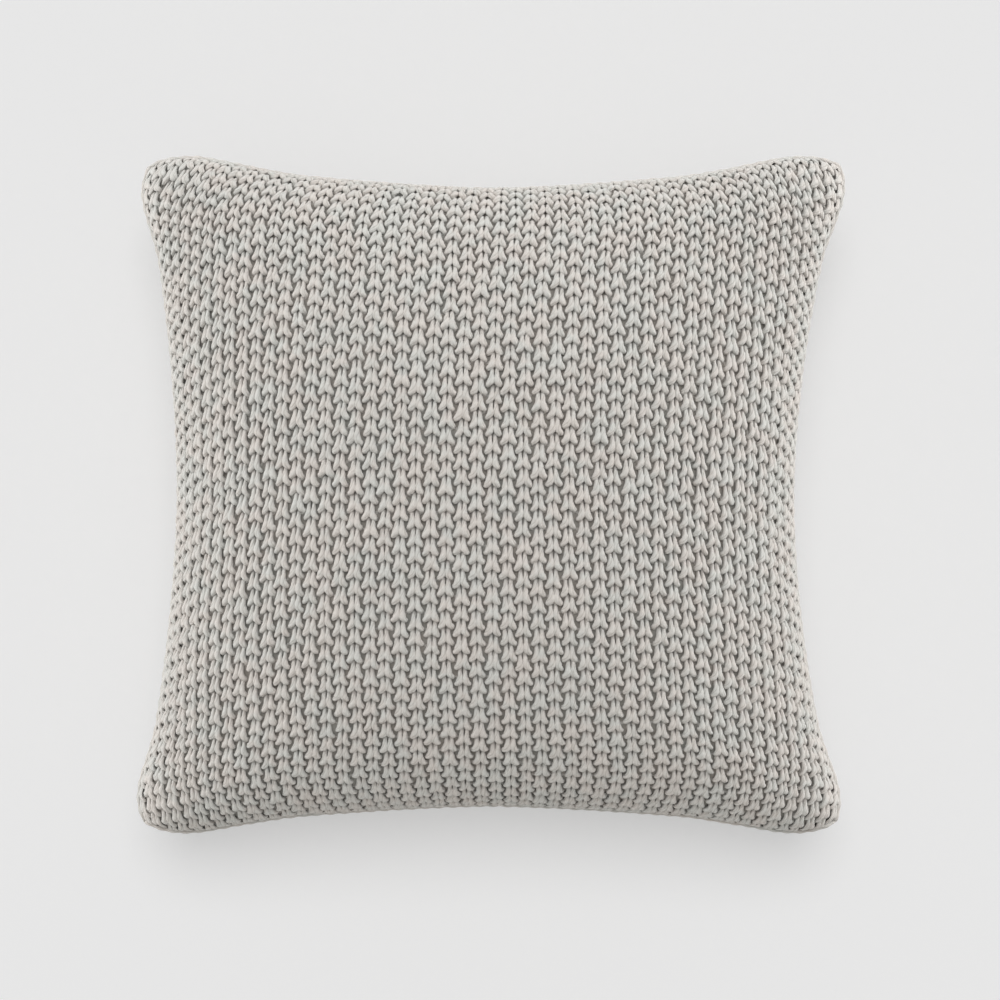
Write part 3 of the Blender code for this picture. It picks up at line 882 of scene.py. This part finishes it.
def make_floor():
    bm = bmesh.new()
    bmesh.ops.create_grid(bm, x_segments=8, y_segments=8, size=FLOOR_SIZE)
    mesh = bpy.data.meshes.new("floor")
    bm.to_mesh(mesh)
    bm.free()
    mesh.materials.append(floor_material())
    made = bpy.data.objects.new("floor", mesh)
    made.location = (0.0, 0.0, -FLOOR_DROP)
    bpy.context.scene.collection.objects.link(made)
    made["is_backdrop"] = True


def softbox(name, place, size, power, colour, only):
    """A lamp that lights nothing but the pieces in a collection."""
    data = bpy.data.lights.new(name, "AREA")
    data.shape = "RECTANGLE"
    data.size, data.size_y = size
    data.energy = power
    data.color = colour
    made = bpy.data.objects.new(name, data)
    made.location = place
    aim = Vector(LAMP_AIM) - Vector(place)
    made.rotation_euler = aim.to_track_quat("-Z", "Y").to_euler()
    bpy.context.scene.collection.objects.link(made)
    made.light_linking.receiver_collection = only


def make_world(strength):
    world = bpy.data.worlds.new("studio")
    world.use_nodes = True
    back = world.node_tree.nodes["Background"]
    back.inputs[0].default_value = (1.0, 1.0, 1.0, 1.0)
    back.inputs[1].default_value = strength
    bpy.context.scene.world = world


def lit_pieces():
    """A collection of the pillow's pieces, for lamps that leave the floor alone."""
    group = bpy.data.collections.new("pillow_only")
    bpy.context.scene.collection.children.link(group)
    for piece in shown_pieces():
        group.objects.link(piece)
    return group


def make_sun(strength, elevation, spread):
    """Soft light from beyond the top edge, so that the shadow falls past the bottom edge."""
    data = bpy.data.lights.new("sun", "SUN")
    data.energy = strength
    data.angle = math.radians(spread)
    made = bpy.data.objects.new("sun", data)
    made.rotation_euler = (-math.radians(90.0 - elevation), 0.0, 0.0)
    bpy.context.scene.collection.objects.link(made)


def make_lights():
    make_world(WORLD_STRENGTH)
    make_sun(*SUN)
    only = lit_pieces()
    for name, place, size, power, colour in LAMPS:
        softbox(name, place, size, power, colour, only)


def main():
    make_camera()
    yarn = yarn_material("knit_yarn", (0.575, 0.54, 0.505), (0.55, 0.548, 0.52))
    # The ground's yarn is painted darker than the knit's: painted shade in the gaps between stitches.
    painted_shade_yarn = yarn_material("knit_ground", (0.46, 0.43, 0.40), (0.43, 0.43, 0.41))
    cotton = woven_material("cotton_weave", (0.86, 0.85, 0.82), (0.66, 0.65, 0.62), 0.0006, 0.84, 0.2)
    satin = woven_material("satin_weave", (0.86, 0.85, 0.82), (0.76, 0.75, 0.72), 0.0003, 0.42, 0.1)
    linking = woven_material("linking_yarn", (0.46, 0.43, 0.40), (0.34, 0.32, 0.30), 0.0016, 0.88, 0.25)
    tape = woven_material("tape_weave", (0.50, 0.47, 0.44), (0.34, 0.32, 0.30), 0.0007, 0.80, 0.15)
    front, back = Cloth(1), Cloth(-1)
    front_rows = knit_panel("front", front, FINE, 8, 8, yarn, 21)
    back_rows = knit_panel("back", back, COARSE, 6, 5, yarn, 22)
    front_rows.append(bound_edge("front", front, yarn))
    back_rows.append(bound_edge("back", back, yarn))
    insert_cover(cotton)
    loose_filling(fibre_material())
    care_label(satin)
    knit_ground("front", front, painted_shade_yarn)
    knit_ground("back", back, painted_shade_yarn)
    nylon = nylon_material()
    coil(1, nylon)
    coil(-1, nylon)
    stops = ("zip_top_stop_front", "zip_top_stop_back", "zip_bottom_stop")
    finish_nodes(
        (
            (("zip_slider", "zip_pull_tab", *stops), metal_material()),
            (("zip_tape_front", "zip_tape_back"), tape),
            (("insert_seam_thread",), cotton),
            (("edge_linking_yarn",), linking),
        )
    )
    make_floor()
    make_lights()
    bpy.context.scene.view_settings.view_transform = "Standard"


main()
